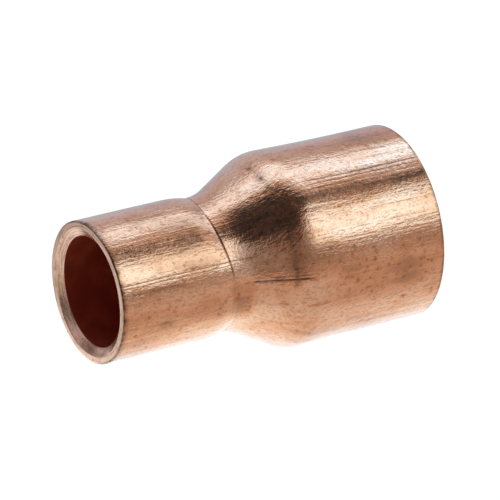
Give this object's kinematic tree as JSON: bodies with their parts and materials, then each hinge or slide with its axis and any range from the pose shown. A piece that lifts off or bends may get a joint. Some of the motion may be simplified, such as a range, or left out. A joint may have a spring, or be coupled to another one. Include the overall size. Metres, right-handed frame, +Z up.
{
  "type": "concentric reducer",
  "caption": "Wrought copper concentric reducing coupling with a solder socket at each end, necked down from one tube with a pinched tube stop behind the small socket.",
  "frame": {"origin": "on the fitting's axis, halfway along its length", "axes": "+X along the axis from the small socket to the large socket, +Z up, the fitting lying on its side"},
  "size_m": [0.0202, 0.0114, 0.0114],
  "materials": {
    "copper": "drawn and formed copper, satin to bright, with draw lines, handling scratches and light brown tarnish"
  },
  "bodies": {
    "root": {"reducer_body": "copper"}
  },
  "joints": []
}
